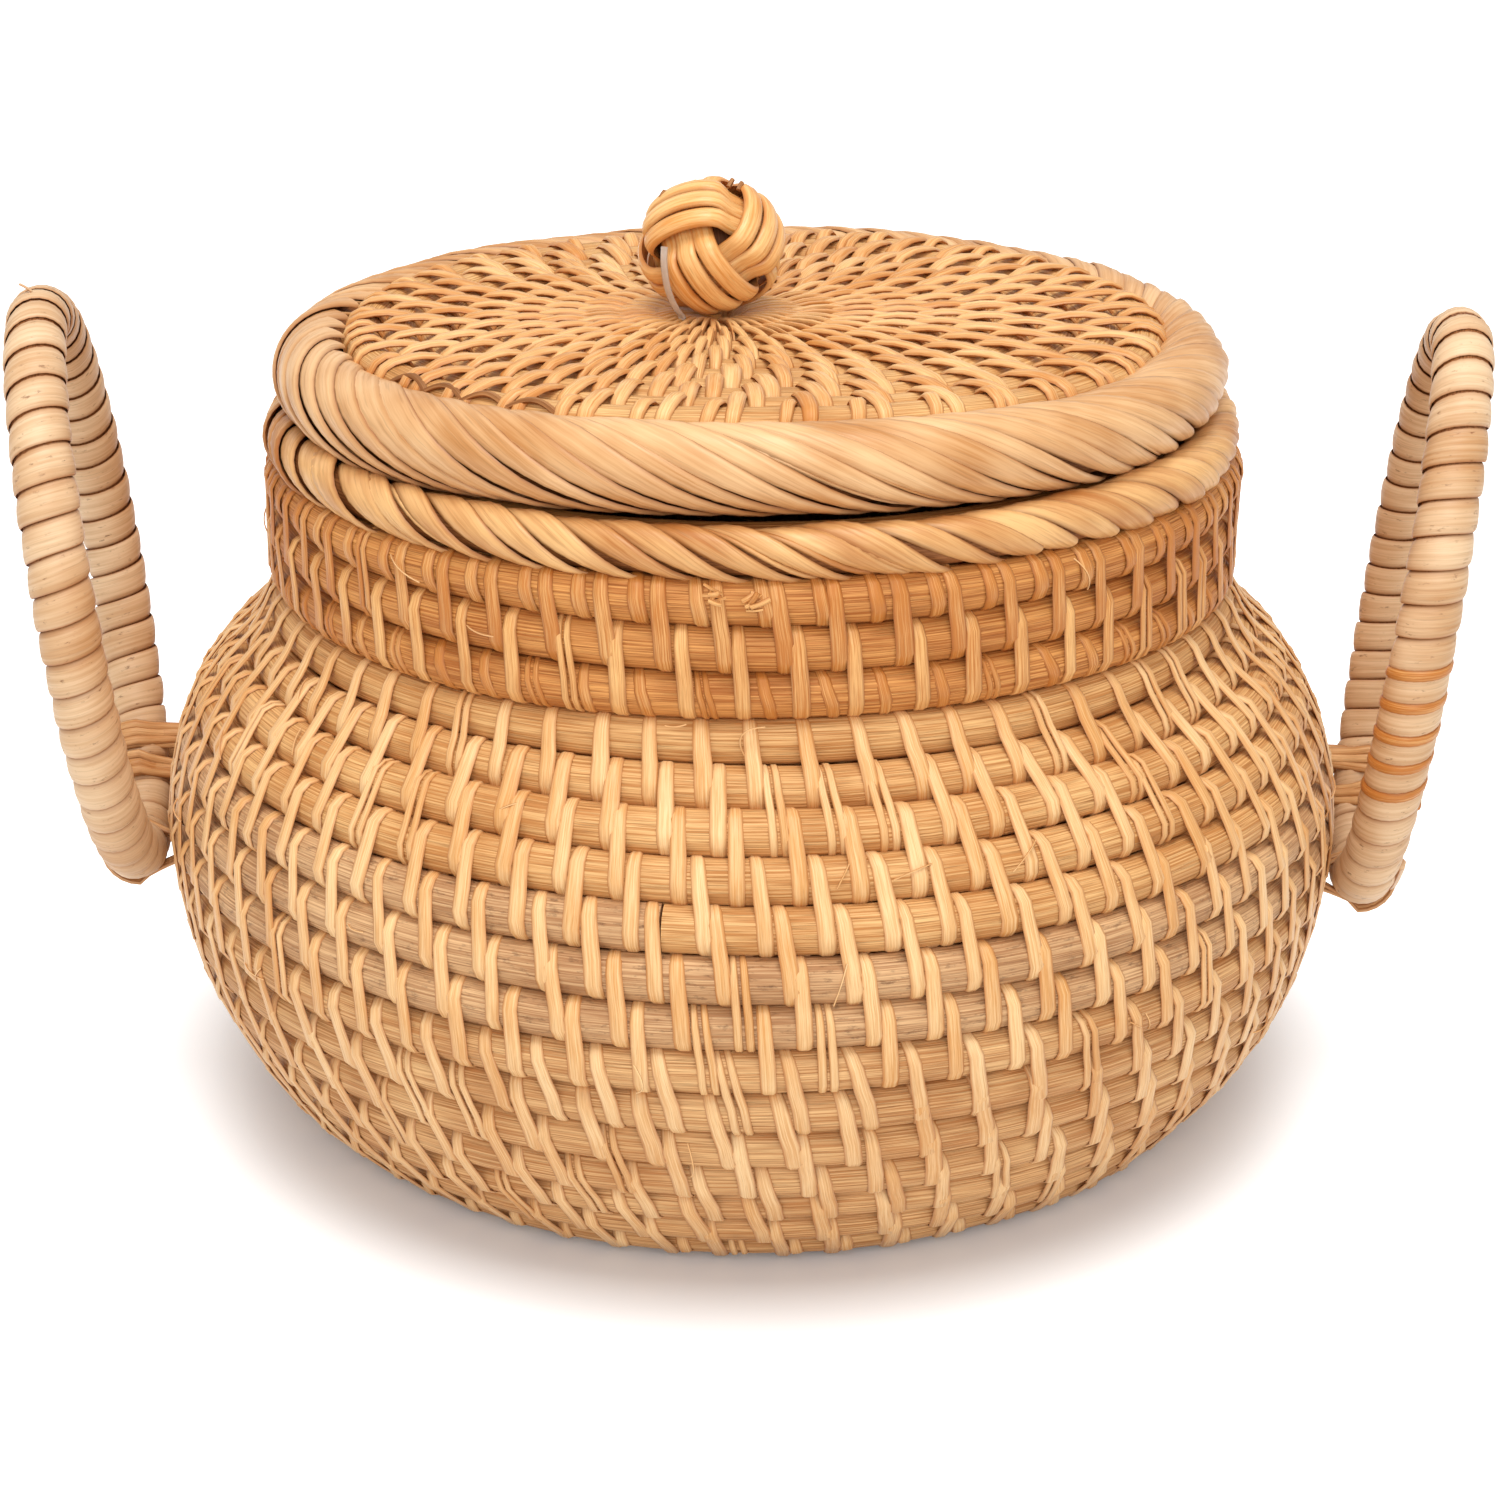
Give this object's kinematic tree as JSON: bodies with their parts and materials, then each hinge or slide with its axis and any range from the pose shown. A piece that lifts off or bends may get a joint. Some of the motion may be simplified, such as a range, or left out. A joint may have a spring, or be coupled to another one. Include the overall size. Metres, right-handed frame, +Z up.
{
  "type": "lidded basket",
  "caption": "Round-bellied basket coiled from wrapped rattan rod, with an upright neck, two lashed hoop handles and a lift-off lid with a plaited knob.",
  "frame": {"origin": "centre of the footprint, on the surface that the basket stands on", "axes": "+X from the left handle to the right handle, +Y away from the viewer in the picture, +Z up and the way the lid lifts"},
  "size_m": [0.2396, 0.201, 0.155],
  "materials": {
    "base_rod": "matte",
    "lower_belly_rod": "matte",
    "middle_belly_rod": "matte",
    "upper_belly_rod": "matte",
    "neck_rod": "matte",
    "rim_core": "matte",
    "rim_splints": "satin",
    "left_hoop_core": "matte",
    "left_hoop_peel": "satin",
    "left_upper_tie_splint": "matte",
    "left_middle_tie_splint": "matte",
    "left_bottom_tie_splint": "matte",
    "right_hoop_core": "matte",
    "right_hoop_peel": "satin",
    "right_upper_tie_splint": "matte",
    "right_middle_tie_splint": "matte",
    "right_bottom_tie_splint": "matte",
    "lid_rim_core": "matte",
    "lid_rim_splints": "satin",
    "lid_rod": "matte",
    "seat_ring_rod": "matte",
    "knob_core": "matte",
    "knob_arch_splints": "satin",
    "knob_front_splints": "satin",
    "knob_side_splints": "satin",
    "knob_tails": "matte",
    "clear_thread": "satin"
  },
  "bodies": {
    "basket": {"base_coil": "base_rod", "lower_belly_coil": "lower_belly_rod", "middle_belly_coil": "middle_belly_rod", "upper_belly_coil": "upper_belly_rod", "neck_coil": "neck_rod", "rim_rod": "rim_core", "rim_binding": "rim_splints", "left_handle_hoop": "left_hoop_core", "left_handle_binding": "left_hoop_peel", "left_upper_tie": "left_upper_tie_splint", "left_middle_tie": "left_middle_tie_splint", "left_bottom_tie": "left_bottom_tie_splint", "right_handle_hoop": "right_hoop_core", "right_handle_binding": "right_hoop_peel", "right_upper_tie": "right_upper_tie_splint", "right_middle_tie": "right_middle_tie_splint", "right_bottom_tie": "right_bottom_tie_splint"},
    "lid": {"lid_rim_rod": "lid_rim_core", "lid_rim_binding": "lid_rim_splints", "lid_coil": "lid_rod", "lid_seat_ring": "seat_ring_rod", "knob_ball": "knob_core", "knob_arch_band": "knob_arch_splints", "knob_front_band": "knob_front_splints", "knob_side_band": "knob_side_splints", "knob_lashing": "knob_tails", "knob_thread": "clear_thread"}
  },
  "joints": [
    {"name": "lid_lift", "type": "slide", "parent": "basket", "child": "lid", "axis": [0, 0, 1], "range_m": [0, 0.12]}
  ]
}
